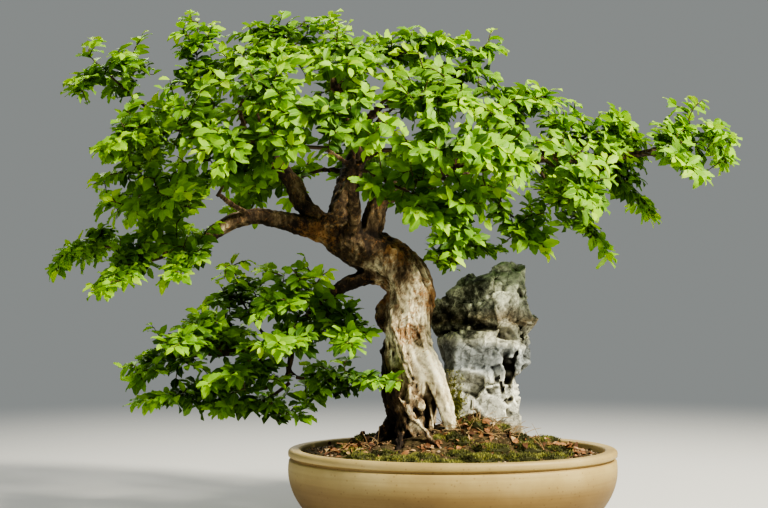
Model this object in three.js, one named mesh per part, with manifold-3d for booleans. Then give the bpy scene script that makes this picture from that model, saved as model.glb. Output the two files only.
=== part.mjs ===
// A Chinese elm bonsai in an oval stoneware pot, beside an upright stone.
// Millimetres, +Z up. The front view looks along +Y, with +X to the right.
// The origin is the centre of the pot's flat underside.
import * as THREE from "three";
import { ConvexGeometry } from "three/addons/geometries/ConvexGeometry.js";
import { mergeVertices } from "three/addons/utils/BufferGeometryUtils.js";
import Module from "manifold-3d";

const wasm = await Module();
wasm.setup();

// The pot
const POT_LENGTH = 350;
const POT_DEPTH = 270;
const POT_HEIGHT = 90;
const BELLY_CENTRE = 68; // height at which the pot is widest
const BELLY_RISE = 100; // half height of the ellipse that its side follows
const RIM_WIDTH = 14;
const FOOT_RADIUS = 122;
const FOOT_HEIGHT = 5;
const FLOOR_TOP = 12;
const DRAIN_RADIUS = 10;
const DRAIN_X = 70;
const CHANNEL_WIDTH = 12;
const CHANNEL_DEPTH = 3;
const SCREEN_SIDE = 32;
const SCREEN_THICKNESS = 1.4;
const SCREEN_BAR = 2.4;

// The soil
const SOIL_EDGE = 84; // height where the soil meets the pot's wall
const MOUND = { x: 2, y: 4, reachX: 98, reachY: 66, rise: 32 };

// The foliage
const LEAF_LENGTH = 23;
const LEAF_WIDTH = 12.5;
const LEAF_STEP = 13; // along a shoot, from one leaf to the next on the same side
const BLADE_THICKNESS = 0.8;
const RIB_WIDTH = 2;
const TUFT = { wide: 42, thick: 28 }; // half sizes of the tuft of packed leaves in a spray
const TWIG_LENGTH = 56;
const TWIG_RADIUS = 2.3;
const TWIG_SIDES = 3;
// The rounded form that the sprays face out of, measured from its middle.
const CROWN = { x: -95, y: 0, z: 360, lift: 60, reachX: 300, reachY: 185, reachZ: 190 };

const GAP = 0.3; // between neighbouring pieces
const SEED = 20;

const FINISH = {
  stoneware: { color: 0xc2a573, roughness: 0.55, metalness: 0 },
  mesh: { color: 0x24272a, roughness: 0.6, metalness: 0 },
  earth: { color: 0x4a3a26, roughness: 1, metalness: 0 },
  stone: { color: 0x8f938c, roughness: 0.9, metalness: 0 },
  bark: { color: 0x9c8a70, roughness: 0.85, metalness: 0 },
  leaf: { color: 0x5f9a2c, roughness: 0.45, metalness: 0 },
};
const material = Object.fromEntries(
  Object.entries(FINISH).map(([name, look]) => [name, new THREE.MeshStandardMaterial(look)]),
);

const bonsai = new THREE.Group();
bonsai.name = "chinese_elm_bonsai";

// A closed geometry as a solid: its shared vertices are merged and collapsed triangles dropped.
function solidOf(geometry) {
  const bare = geometry.clone();
  bare.deleteAttribute("normal");
  bare.deleteAttribute("uv");
  const merged = mergeVertices(bare, 1e-3);
  const corners = [];
  for (let i = 0; i < merged.index.count; i += 3) {
    const [a, b, c] = [0, 1, 2].map((k) => merged.index.getX(i + k));
    if (a !== b && b !== c && c !== a) corners.push(a, b, c);
  }
  return new wasm.Manifold(
    new wasm.Mesh({
      numProp: 3,
      vertProperties: merged.attributes.position.array,
      triVerts: new Uint32Array(corners),
    }),
  );
}

function addPiece(name, solid, finish) {
  const mesh = solid.getMesh();
  const geometry = new THREE.BufferGeometry();
  geometry.setAttribute("position", new THREE.BufferAttribute(mesh.vertProperties, 3));
  geometry.setIndex(new THREE.BufferAttribute(mesh.triVerts, 1));
  geometry.computeVertexNormals();
  const piece = new THREE.Mesh(geometry, finish);
  piece.name = name;
  bonsai.add(piece);
  return solid;
}

const joined = (solids) => solids.reduce((whole, next) => whole.add(next));

// The same numbers every time, between 0 and 1.
function dice(seed) {
  let state = seed >>> 0;
  return () => {
    state = (state + 0x6d2b79f5) >>> 0;
    let t = Math.imul(state ^ (state >>> 15), state | 1);
    t ^= t + Math.imul(t ^ (t >>> 7), t | 61);
    return ((t ^ (t >>> 14)) >>> 0) / 4294967296;
  };
}

// Calls place(point) on every corner of a geometry and stores what it returns.
function reshape(geometry, place) {
  const corner = geometry.attributes.position;
  for (let i = 0; i < corner.count; i++) {
    const moved = place(new THREE.Vector3().fromBufferAttribute(corner, i));
    corner.setXYZ(i, moved.x, moved.y, moved.z);
  }
  return geometry;
}

// Stems

// A stem is a list of stations, each [x, y, z, radius], with a smooth line through them.
class Stem {
  constructor(stations) {
    this.line = new THREE.CatmullRomCurve3(
      stations.map(([x, y, z]) => new THREE.Vector3(x, y, z)),
      false,
      "centripetal",
    );
    this.radii = stations.map((station) => station[3]);
  }

  radius(u) {
    const along = u * (this.radii.length - 1);
    const before = Math.min(Math.floor(along), this.radii.length - 2);
    return THREE.MathUtils.lerp(this.radii[before], this.radii[before + 1], along - before);
  }

  // The closed solid from u = from to u = to. relief(angle, u) scales its radius, and
  // grow makes it larger all over, for the hole that it stands in.
  solid({ sides, steps, from = 0, to = 1, grow = 0, relief = () => 1 }) {
    const turn = Stem.turns(this.line, steps, from, to);
    const tube = new THREE.CylinderGeometry(1, 1, 1, sides, steps);
    return solidOf(
      reshape(tube, ({ x, y, z }) => {
        const ring = Math.round((y + 0.5) * steps);
        const { at, tangent, across, up, u } = turn[ring];
        const end = ring === 0 ? -grow : ring === steps ? grow : 0;
        const reach = (this.radius(u) * relief(Math.atan2(z, x), u) + grow) * Math.hypot(x, z);
        const angle = Math.atan2(z, x);
        return at
          .clone()
          .addScaledVector(across, reach * Math.cos(angle))
          .addScaledVector(up, reach * Math.sin(angle))
          .addScaledVector(tangent, end);
      }),
    );
  }

  // A frame at each ring, carried along the line so that the tube doesn't twist.
  static turns(line, steps, from, to) {
    const rings = [];
    let across = new THREE.Vector3(0, -1, 0.1);
    for (let k = 0; k <= steps; k++) {
      const u = from + ((to - from) * k) / steps;
      const tangent = line.getTangent(u);
      across = across.clone().addScaledVector(tangent, -across.dot(tangent)).normalize();
      const up = across.clone().cross(tangent);
      rings.push({ at: line.getPoint(u), tangent, across, up, u });
    }
    return rings;
  }
}

// The pot and its drainage

const potRadius = POT_LENGTH / 2;
const potSquash = POT_DEPTH / POT_LENGTH;
const POT_SIDES = 32;

const bellyAt = (radius, rise, z) => radius * Math.sqrt(1 - ((BELLY_CENTRE - z) / rise) ** 2);
const innerRadius = potRadius - RIM_WIDTH;
const INNER_RISE = 90;

function heights(low, high, count) {
  return Array.from({ length: count }, (_, k) => low + ((high - low) * k) / (count - 1));
}

// Revolves a profile of [radius, height] pairs and presses the round form into an oval.
function ovalTurning(profile) {
  const points = profile.map(([radius, z]) => new THREE.Vector2(radius, z));
  const turned = new THREE.LatheGeometry(points, POT_SIDES).rotateX(Math.PI / 2);
  return turned.scale(1, potSquash, 1);
}

function potShell() {
  const bellyTop = POT_HEIGHT - 12;
  const rimLow = POT_HEIGHT - 8;
  const outside = heights(FOOT_HEIGHT, bellyTop, 5).map((z) => [
    bellyAt(potRadius, BELLY_RISE, z),
    z,
  ]);
  const inside = heights(BELLY_CENTRE, FLOOR_TOP, 3).map((z) => [
    bellyAt(innerRadius, INNER_RISE, z),
    z,
  ]);
  return solidOf(
    ovalTurning([
      [0, 0],
      [FOOT_RADIUS, 0],
      [FOOT_RADIUS, FOOT_HEIGHT],
      ...outside,
      [potRadius - 4.5, bellyTop + 1.5],
      [potRadius - 4.5, rimLow - 0.5],
      [potRadius, rimLow + 1],
      [potRadius, POT_HEIGHT - 3],
      [potRadius - 4, POT_HEIGHT],
      [innerRadius + 2, POT_HEIGHT],
      [innerRadius, POT_HEIGHT - 2],
      ...inside,
      [0, FLOOR_TOP],
    ]),
  );
}

// Water leaves by two holes in the floor and a shallow channel under each.
function drain(x) {
  const hole = new THREE.CylinderGeometry(DRAIN_RADIUS, DRAIN_RADIUS, 4 * FLOOR_TOP, 12);
  const channel = new THREE.BoxGeometry(CHANNEL_WIDTH, POT_DEPTH, 2 * CHANNEL_DEPTH);
  return solidOf(hole.rotateX(Math.PI / 2).translate(x, 0, 0)).add(
    solidOf(channel.translate(x, 0, 0)),
  );
}

addPiece(
  "pot",
  potShell().subtract(drain(-DRAIN_X)).subtract(drain(DRAIN_X)),
  material.stoneware,
);

// A square of plastic mesh lies over each drain hole, under the soil.
function drainScreen(x) {
  const z = FLOOR_TOP + GAP + SCREEN_THICKNESS / 2;
  const pitch = (SCREEN_SIDE - SCREEN_BAR) / 3;
  const opening = pitch - SCREEN_BAR;
  const plate = new THREE.BoxGeometry(SCREEN_SIDE, SCREEN_SIDE, SCREEN_THICKNESS);
  let sheet = solidOf(plate.translate(x, 0, z));
  for (const row of [-1, 0, 1]) {
    for (const column of [-1, 0, 1]) {
      const cut = new THREE.BoxGeometry(opening, opening, 2 * SCREEN_THICKNESS);
      sheet = sheet.subtract(solidOf(cut.translate(x + column * pitch, row * pitch, z)));
    }
  }
  return sheet;
}

addPiece("drain_screen_left", drainScreen(-DRAIN_X), material.mesh);
addPiece("drain_screen_right", drainScreen(DRAIN_X), material.mesh);

// Trunk, roots and limbs

const TRUNK = [
  [-36, 4, 62, 24],
  [-38, 4, 90, 27],
  [-42, 3, 115, 27],
  [-44, 1, 142, 29],
  [-46, -1, 173, 28.5],
  [-48, -2, 205, 26],
  [-46, -1, 235, 26],
  [-45, 0, 260, 27],
  [-57, 1, 281, 26.5],
  [-80, 0, 296, 25],
  [-104, -2, 308, 23],
  [-125, -3, 320, 19],
  [-141, -4, 329, 14],
];

// Roots and ridges stand out of the trunk and run down it into the soil.
const ROOTS = {
  right: [
    [-46, -12, 238, 11],
    [-37, -15, 208, 13],
    [-27, -18, 182, 12.5],
    [-18, -21, 162, 10.5],
    [-10, -23, 141, 9],
    [-4, -25, 121, 7.6],
    [1, -27, 100, 7],
    [5, -28, 80, 5],
  ],
  across: [
    [-58, -26, 148, 3.2],
    [-50, -33, 137, 4.6],
    [-38, -40, 121, 4.4],
    [-25, -46, 105, 4],
    [-13, -52, 91, 3.4],
    [-6, -56, 80, 2.6],
  ],
  bulb: [
    [-52, -22, 157, 5],
    [-43, -28, 147, 9],
    [-36, -29, 137, 8],
    [-33, -26, 128, 4],
  ],
  thin: [
    [-27, -16, 146, 3],
    [-24, -22, 130, 3.6],
    [-23, -26, 110, 3.2],
    [-22, -29, 90, 2.8],
  ],
  ridge: [
    [-62, -16, 244, 7],
    [-58, -22, 216, 8.5],
    [-53, -26, 190, 8],
    [-46, -27, 172, 6.5],
    [-40, -26, 160, 3.5],
  ],
  knob: [
    [-68, 4, 251, 6],
    [-73, 6, 238, 10.5],
    [-74, 7, 227, 10],
    [-69, 7, 214, 6],
  ],
  left: [
    [-66, 6, 214, 7],
    [-69, 6, 192, 9.5],
    [-69, 6, 170, 9.8],
    [-68, 5, 153, 7],
    [-69, 4, 139, 10],
    [-64, 4, 124, 8],
    [-56, 3, 108, 6],
  ],
  flare: [
    [-56, 0, 138, 13],
    [-66, -6, 116, 10.5],
    [-78, -12, 100, 8],
    [-93, -18, 88, 6],
    [-108, -24, 76, 4.5],
  ],
  front: [
    [-50, -12, 130, 10],
    [-55, -27, 110, 7.5],
    [-58, -42, 96, 5.6],
    [-60, -57, 82, 4],
  ],
  back: [
    [-34, 12, 134, 13],
    [-27, 30, 113, 9.5],
    [-18, 47, 97, 7],
    [-10, 62, 80, 5],
  ],
  backLeft: [
    [-54, 12, 132, 12],
    [-67, 28, 110, 8.5],
    [-82, 43, 94, 6],
    [-95, 56, 78, 4],
  ],
};

// Water and time opened two hollows between the roots.
const HOLLOWS = [
  [
    [-30, -32, 178, 3.5],
    [-25, -31, 157, 9],
    [-23, -29, 134, 12],
    [-21, -28, 104, 13],
  ],
  [
    [-61, -24, 204, 2.5],
    [-63, -26, 180, 6],
    [-61, -28, 158, 7],
    [-55, -32, 138, 8],
  ],
];

const LIMBS = {
  left: [
    [-118, -3, 316, 17],
    [-142, -6, 323, 14],
    [-160, -8, 327, 12],
    [-180, -10, 332, 10],
    [-207, -13, 337, 9],
    [-231, -15, 332, 9],
    [-253, -17, 319, 8.5],
    [-268, -18, 307, 7.5],
    [-292, -15, 298, 6],
    [-318, -9, 301, 4.4],
  ],
  high: [
    [-138, -2, 326, 12],
    [-160, 2, 350, 11],
    [-173, 8, 376, 9.5],
    [-196, 14, 401, 8.5],
    [-232, 18, 418, 8],
    [-270, 20, 426, 6.5],
    [-305, 18, 436, 5],
    [-320, 15, 443, 3.4],
  ],
  crown: [
    [-120, -2, 318, 12],
    [-121, 2, 345, 11],
    [-109, 6, 368, 9.5],
    [-100, 10, 396, 8],
    [-104, 12, 430, 7],
    [-118, 10, 462, 5.5],
    [-128, 8, 484, 4],
  ],
  right: [
    [-88, -2, 298, 14],
    [-86, -6, 325, 13.5],
    [-79, -8, 350, 12],
    [-56, -10, 370, 10.5],
    [-20, -10, 384, 9],
    [30, -8, 396, 8],
    [85, -4, 400, 7],
    [140, 0, 398, 5.6],
    [190, 4, 402, 4.4],
    [212, 4, 404, 3.2],
  ],
  back: [
    [-128, 2, 318, 10],
    [-124, 35, 348, 9],
    [-118, 70, 378, 7.5],
    [-112, 105, 402, 6],
    [-108, 126, 414, 4.2],
  ],
  front: [
    [-104, -6, 312, 9],
    [-104, -45, 342, 8],
    [-104, -78, 368, 6.5],
    [-104, -104, 390, 4.6],
  ],
  hanging: [
    [-34, -12, 380, 6],
    [-14, -14, 358, 5],
    [-8, -16, 334, 4],
    [-10, -18, 316, 3.2],
  ],
  lower: [
    [-62, 0, 274, 12],
    [-92, -4, 272, 9.5],
    [-112, -6, 265, 8.2],
    [-138, -8, 247, 7.2],
    [-156, -10, 225, 6.4],
    [-170, -10, 206, 5.6],
    [-200, -12, 198, 5],
    [-238, -12, 192, 4.2],
    [-252, -12, 190, 3.2],
  ],
  drop: [
    [-168, -10, 208, 4.6],
    [-172, -12, 184, 4],
    [-174, -12, 166, 3],
  ],
};

const stems = (table) =>
  Object.fromEntries(Object.entries(table).map(([name, stations]) => [name, new Stem(stations)]));
const roots = stems(ROOTS);
const limbs = stems(LIMBS);

const trunkRelief = (angle, u) =>
  1 + 0.06 * Math.cos(3 * angle + 9 * u) + 0.04 * Math.cos(5 * angle - 14 * u);

// The lower trunk with its roots and hollows. With grow it is the hole they stand in.
function base(grow = 0) {
  const trunk = new Stem(TRUNK).solid({ sides: 12, steps: 16, grow, relief: trunkRelief });
  const hollows = HOLLOWS.map((stations) => new Stem(stations).solid({ sides: 6, steps: 4 }));
  const rootSolids = Object.values(roots).map((root) => root.solid({ sides: 5, steps: 5, grow }));
  const hollowed = grow ? trunk : hollows.reduce((wood, hollow) => wood.subtract(hollow), trunk);
  return hollowed.add(joined(rootSolids));
}

// Leafy sprays

// Each spray grows from a limb to a tuft at the given place, and a number of leafy shoots
// leaves the tuft. Its name ends in its limb's name and a number. A rising one stands up
// out of the crown.
const SPRAYS = [
  ["crown", -152, 4, 530, 1],
  ["crown", -112, -78, 500, 1],
  ["crown", -116, 90, 498, 1],
  ["crown", -64, -2, 514, 1],
  ["crown", -36, -86, 466, 1],
  ["crown", -36, 82, 474, 1],
  ["crown", 8, -2, 478, 1, "rising"],
  ["high", -222, -8, 506, 1],
  ["high", -222, 90, 472, 1],
  ["high", -198, -106, 470, 1],
  ["high", -268, 2, 482, 1, "rising"],
  ["high", -270, -88, 444, 1],
  ["high", -360, 2, 494, 2],
  ["high", -330, -54, 422, 1],
  ["high", -334, 66, 424, 1],
  ["left", -354, 4, 368, 1],
  ["left", -316, -80, 356, 1],
  ["left", -322, 74, 350, 1],
  ["left", -374, -4, 316, 2],
  ["left", -328, -76, 298, 1],
  ["left", -250, -110, 386, 1],
  ["left", -272, -60, 310, 1],
  ["front", -178, -152, 412, 1],
  ["front", -100, -164, 426, 1],
  ["front", -24, -148, 406, 1],
  ["front", -58, -106, 374, 1],
  ["back", -198, 124, 382, 1],
  ["back", -104, 164, 426, 1],
  ["back", -26, 148, 408, 1],
  ["right", 56, -2, 452, 1],
  ["right", 52, -94, 420, 1],
  ["right", 56, 88, 420, 1],
  ["right", 120, -2, 436, 1],
  ["right", 124, -68, 386, 1],
  ["right", 130, 62, 392, 1],
  ["right", 52, -42, 346, 1],
  ["right", 118, -4, 354, 1],
  ["right", 190, 32, 422, 1],
  ["right", 180, 22, 382, 1],
  ["right", 262, 2, 426, 2],
  ["right", 230, -38, 408, 1],
  ["right", 6, -112, 358, 1],
  ["hanging", -4, -4, 300, 1],
  ["lower", -296, -10, 190, 2],
  ["lower", -262, -44, 216, 1],
  ["lower", -254, 42, 206, 1],
  ["lower", -160, -44, 264, 1],
  ["lower", -122, -42, 228, 1],
  ["lower", -224, 26, 256, 1],
  ["lower", -206, -42, 176, 1],
  ["lower", -164, -56, 212, 1],
  ["drop", -258, -10, 150, 1],
  ["drop", -176, -12, 140, 1],
  ["drop", -132, -16, 164, 1],
];

// The place along a limb where a branchlet leaves it, a little before the nearest to the tuft.
function fork(limb, tuft) {
  const LEAD = 0.1;
  const EARLIEST = 0.2;
  const places = heights(EARLIEST, 1, 60).map((u) => [limb.line.getPoint(u).distanceTo(tuft), u]);
  const nearest = places.reduce((best, next) => (next[0] < best[0] ? next : best));
  return Math.max(EARLIEST, nearest[1] - LEAD);
}

// One curve runs from inside the limb to the tuft. Its first part, the branchlet, belongs to
// the tree, and the rest is the spray's twig, a gap further on.
function branchletTo(limb, tuft) {
  const u = fork(limb, tuft);
  const start = limb.line.getPoint(u);
  const reach = start.distanceTo(tuft);
  const knee = start
    .clone()
    .lerp(tuft, 0.45)
    .addScaledVector(limb.line.getTangent(u), 0.12 * reach);
  const thick = Math.min(0.8 * limb.radius(u), 2.4 + reach / 40);
  const stem = new Stem([
    [...start.toArray(), thick],
    [...knee.toArray(), (thick + TWIG_RADIUS) / 2],
    [...tuft.toArray(), 0.8 * TWIG_RADIUS],
  ]);
  stem.seat = Math.max(0.3, 1 - TWIG_LENGTH / reach);
  stem.slit = GAP / reach / 2;
  return stem;
}

// One leafy shoot, flat at first: a rib along +X, with alternate leaves cut to it on both
// sides, each wider at one side of its foot than the other, as elm leaves are.
function shootOutline(pairs, size) {
  const LEAN = 0.92; // radians between a side leaf and the rib
  const BARE = 33; // rib inside the tuft
  const half = RIB_WIDTH / 2;
  const length = size * LEAF_LENGTH;
  const wide = (size * LEAF_WIDTH) / 2;
  const side = (sign) => {
    const edge = [];
    for (let k = 0; k < pairs; k++) {
      const foot = BARE + LEAF_STEP * (k + (sign > 0 ? 0 : 0.5));
      const at = (along, across) =>
        new THREE.Vector2(
          foot + along * Math.cos(LEAN) - across * Math.sin(LEAN),
          sign * (half + along * Math.sin(LEAN) + across * Math.cos(LEAN)),
        );
      edge.push(new THREE.Vector2(foot, sign * half));
      edge.push(at(0.45 * length, wide), at(length, 0), at(0.5 * length, -wide));
    }
    return edge;
  };
  const end = BARE + LEAF_STEP * (pairs + 0.2);
  return new THREE.Shape([
    new THREE.Vector2(0, -half),
    ...side(-1),
    new THREE.Vector2(end, -half),
    new THREE.Vector2(end + 0.4 * length, -wide),
    new THREE.Vector2(end + length, 0),
    new THREE.Vector2(end + 0.4 * length, wide),
    new THREE.Vector2(end - 2, half),
    ...side(1).reverse(),
    new THREE.Vector2(0, half),
  ]);
}

// The shoot's blade arches along its rib, and its leaves droop away from it.
function shoot(pairs, size, frame) {
  const ARCH = 0.0021;
  const DROOP = 0.008;
  const blade = new THREE.ExtrudeGeometry(shootOutline(pairs, size), {
    depth: BLADE_THICKNESS,
    bevelEnabled: false,
  });
  reshape(blade, ({ x, y, z }) => {
    const fall = ARCH * x * x + DROOP * y * y;
    return new THREE.Vector3(x, y, z - BLADE_THICKNESS / 2 - fall);
  });
  return solidOf(blade.applyMatrix4(frame));
}

// The unit vector out of the tree's rounded form at a point.
function outward(at) {
  const lifted = Math.abs(at.z - CROWN.z) + CROWN.lift;
  return new THREE.Vector3(
    (at.x - CROWN.x) / CROWN.reachX ** 2,
    (at.y - CROWN.y) / CROWN.reachY ** 2,
    lifted / CROWN.reachZ ** 2,
  ).normalize();
}

// Axes at a point: x along the direction, and z as near to face as that lets it be.
function axesAt(point, direction, face) {
  const x = direction.clone().normalize();
  const y = face.clone().cross(x).normalize();
  return new THREE.Matrix4().makeBasis(x, y, x.clone().cross(y)).setPosition(point);
}

const FRONT = new THREE.Vector3(0, -1, 0);
const draw = dice(SEED);
const between = (low, high) => low + (high - low) * draw();
const crosses = (solid, others) => others.some((other) => solid.intersect(other).volume() > 0);

// The packed leaves in the middle of a spray: a leaf tip stands out of each face of a ball,
// nearer to one of the face's edges, and the ball's corners lie back between them.
function leafyBall() {
  const phase = between(0, 6);
  const corner = new THREE.IcosahedronGeometry(1, 0).attributes.position;
  const points = [];
  for (let face = 0; face < corner.count; face += 3) {
    const cornerAt = (k) => new THREE.Vector3().fromBufferAttribute(corner, face + k);
    const [a, b, c] = [0, 1, 2].map(cornerAt);
    const weights = [0.2, 0.5, 0.5].map((share) => share * between(0.75, 1.25));
    const turned = Math.floor(between(0, 3));
    const tip = new THREE.Vector3();
    [a, b, c].forEach((p, k) => tip.addScaledVector(p, weights[(k + turned) % 3]));
    tip.setLength(between(1.2, 1.6));
    for (const p of [a, b, c]) {
      p.setLength(0.78 + 0.14 * Math.sin(5 * p.x + 7 * p.y + 9 * p.z + phase));
    }
    points.push(a, b, tip, b, c, tip, c, a, tip);
  }
  return new THREE.BufferGeometry().setFromPoints(points);
}

// The largest such ball that clears what stands round it.
function tuftCore(centre, ahead, face, others) {
  const ball = leafyBall();
  const axes = axesAt(centre, ahead, face);
  for (const size of [1, 0.9, 0.8, 0.7, 0.6, 0.5, 0.4]) {
    const wide = TUFT.wide * size;
    const sized = ball.clone().scale(wide, 0.85 * wide, TUFT.thick * size).applyMatrix4(axes);
    const core = solidOf(sized);
    if (!crosses(core, others)) return core;
  }
  return null;
}

// Adds a shoot to a spray, redrawn until it clears everything that stands round it.
function addShoot(grown, { centre, ahead, beside, face, pairs, rising }, middle, others) {
  const TRIES = 40;
  for (let attempt = 0; attempt < TRIES; attempt++) {
    const late = attempt / TRIES;
    const turn = middle + between(-1, 1) * (0.2 + 1.2 * late);
    const direction = ahead
      .clone()
      .multiplyScalar(Math.cos(turn))
      .addScaledVector(beside, Math.sin(turn))
      .addScaledVector(face, rising ? 4 : between(0, 0.4));
    const lean = new THREE.Vector3(between(-1, 1), between(-1, 1), between(-1, 1));
    const normal = lean.multiplyScalar(0.25 + late / 2).add(rising ? FRONT : face);
    const frame = axesAt(centre, direction, normal);
    const made = shoot(late < 0.7 ? pairs : 1, 1.05 - 0.15 * late, frame);
    if (!crosses(made, others)) return grown.add(made);
  }
  return grown;
}

const tufts = SPRAYS.map(([limb, x, y, z, shoots, habit]) => {
  const place = new THREE.Vector3(x, y, z);
  const face = outward(place);
  const stem = branchletTo(limbs[limb], place);
  const heading = stem.line.getTangent(1);
  const flat = heading.clone().addScaledVector(face, -heading.dot(face));
  const ahead = flat.length() < 0.2 ? new THREE.Vector3(Math.sign(x), 0, 0) : flat.normalize();
  const beside = face.clone().cross(ahead).normalize();
  const rising = habit === "rising";
  const pairs = shoots === 1 && !rising && y < 20 ? 2 : 1;
  return { limb, shoots, pairs, rising, stem, centre: place, ahead, beside, face };
});

// The stone

// It is angular, so each block is the smallest convex solid round its corners.
const STONE = {
  top: [
    [60, 42, 289],
    [67, 50, 291],
    [75, 54, 283],
    [44, 26, 270],
    [48, 17, 240],
    [50, 15, 212],
    [84, 36, 257],
    [87, 36, 226],
    [82, 64, 262],
    [88, 68, 224],
    [20, 44, 265],
    [-3, 50, 255],
    [-17, 58, 242],
    [-23, 62, 226],
    [-14, 58, 206],
    [0, 44, 204],
    [14, 32, 212],
    [0, 80, 238],
    [52, 80, 264],
    [26, 82, 206],
    [80, 78, 204],
    [72, 26, 203],
  ],
  ear: [
    [82, 40, 236],
    [95, 46, 225],
    [90, 40, 213],
    [80, 36, 204],
    [84, 62, 228],
    [84, 58, 208],
  ],
  middle: [
    [14, 30, 218],
    [48, 24, 215],
    [74, 28, 206],
    [10, 9, 205],
    [48, 2, 202],
    [76, 9, 194],
    [-8, 32, 202],
    [-10, 62, 202],
    [-4, 22, 186],
    [84, 28, 200],
    [86, 62, 200],
    [84, 22, 182],
    [80, 66, 176],
    [72, 12, 166],
    [54, 4, 160],
    [4, 12, 162],
    [2, 66, 162],
    [66, 68, 160],
  ],
  foot: [
    [2, 14, 174],
    [58, 8, 176],
    [68, 18, 170],
    [70, 66, 172],
    [2, 68, 172],
    [68, 14, 142],
    [2, 11, 136],
    [-1, 10, 96],
    [60, 5, 96],
    [76, 16, 96],
    [79, 70, 96],
    [0, 76, 96],
  ],
};
// Clefts run down its front, and one lies under the ledge at its left.
const CLEFTS = [
  [
    [72, 6, 196, 4],
    [66, 8, 178, 8.5],
    [62, 10, 158, 8],
    [66, 10, 138, 6],
    [62, 8, 122, 3],
  ],
  [
    [14, 4, 150, 3],
    [24, 8, 132, 6],
    [31, 7, 116, 8],
    [33, 6, 100, 8],
  ],
  [
    [-16, 50, 208, 7],
    [2, 38, 209, 8],
    [16, 28, 214, 4],
  ],
];

// With grow it is the hole that the stone stands in.
function stone(grow = 0) {
  const blocks = Object.values(STONE).map((corners) => {
    const places = corners.map(([x, y, z]) => {
      const out = new THREE.Vector2(x - 38, y - 40).setLength(1.4 * grow);
      return new THREE.Vector3(x + out.x, y + out.y, z - grow);
    });
    return solidOf(new ConvexGeometry(places));
  });
  if (grow) return joined(blocks);
  const clefts = CLEFTS.map((stations) => new Stem(stations).solid({ sides: 6, steps: 5 }));
  return clefts.reduce((left, cleft) => left.subtract(cleft), joined(blocks));
}

const stoneSolid = addPiece("stone", stone(), material.stone);

// The soil

// The mound rises to the trunk, with low clods all over, and lies lower at the right end.
function soilHeight(x, y) {
  const away = ((x - MOUND.x) / MOUND.reachX) ** 2 + ((y - MOUND.y) / MOUND.reachY) ** 2;
  const coarse = Math.sin(x / 9 + y / 14) * Math.cos(y / 8 - x / 21);
  const fine = 0.6 * Math.sin(x / 5 + y / 6);
  const dip = Math.max(0, x - 90) / 18;
  return SOIL_EDGE + MOUND.rise * Math.exp(-away) + 1.3 * (coarse + fine) - dip;
}

function soil() {
  const RINGS = 6;
  const wall = heights(FLOOR_TOP + GAP, BELLY_CENTRE, 3).map((z) => [
    bellyAt(innerRadius, INNER_RISE, z) - 1.4 * GAP,
    z,
  ]);
  const edge = innerRadius - 1.4 * GAP;
  const top = heights(edge, 0, RINGS).map((radius) => [radius, SOIL_EDGE]);
  const lump = ovalTurning([[0, FLOOR_TOP + GAP], ...wall, ...top]);
  reshape(lump, (p) => {
    if (p.z > SOIL_EDGE - 1) p.z = soilHeight(p.x, p.y);
    return p;
  });
  const pocket = (x) => {
    const side = SCREEN_SIDE + 2 * GAP;
    const deep = 2 * (SCREEN_THICKNESS + 2 * GAP);
    return solidOf(new THREE.BoxGeometry(side, side, deep).translate(x, 0, FLOOR_TOP));
  };
  return solidOf(lump)
    .subtract(pocket(-DRAIN_X))
    .subtract(pocket(DRAIN_X))
    .subtract(base(GAP + 0.1))
    .subtract(stone(GAP + 0.1));
}

const soilSolid = addPiece("soil", soil(), material.earth);

// The tree and its leafy sprays

const branchlets = tufts.map(({ stem }) =>
  stem.solid({ sides: TWIG_SIDES, steps: 2, to: stem.seat - stem.slit }),
);
const limbSolids = Object.values(limbs).map((limb) =>
  limb.solid({ sides: 6, steps: limb.radii.length - 1 }),
);
const treeSolid = addPiece(
  "tree",
  base().add(joined(limbSolids)).add(joined(branchlets)),
  material.bark,
);

// Twigs and tufts come first, and then the shoots, which fill what room they leave.
const grown = [treeSolid, stoneSolid, soilSolid];
for (const tuft of tufts) {
  const { stem, centre, ahead, face } = tuft;
  const twig = stem.solid({ sides: TWIG_SIDES, steps: 1, from: stem.seat + stem.slit });
  const core = tuftCore(centre, ahead, face, grown);
  tuft.index = grown.push(core ? twig.add(core) : twig) - 1;
}
const counted = {};
for (const tuft of tufts) {
  const { limb, shoots, index } = tuft;
  for (let k = 0; k < shoots; k++) {
    const others = grown.filter((_, i) => i !== index);
    grown[index] = addShoot(grown[index], tuft, (k - (shoots - 1) / 2) * 1.9, others);
  }
  counted[limb] = (counted[limb] ?? 0) + 1;
  addPiece(`spray_${limb}_${counted[limb]}`, grown[index], material.leaf);
}

export default bonsai;
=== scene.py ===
import math

import bmesh
import bpy
import numpy as np
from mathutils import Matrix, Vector, noise
from mathutils.bvhtree import BVHTree
from mathutils.kdtree import KDTree


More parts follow.
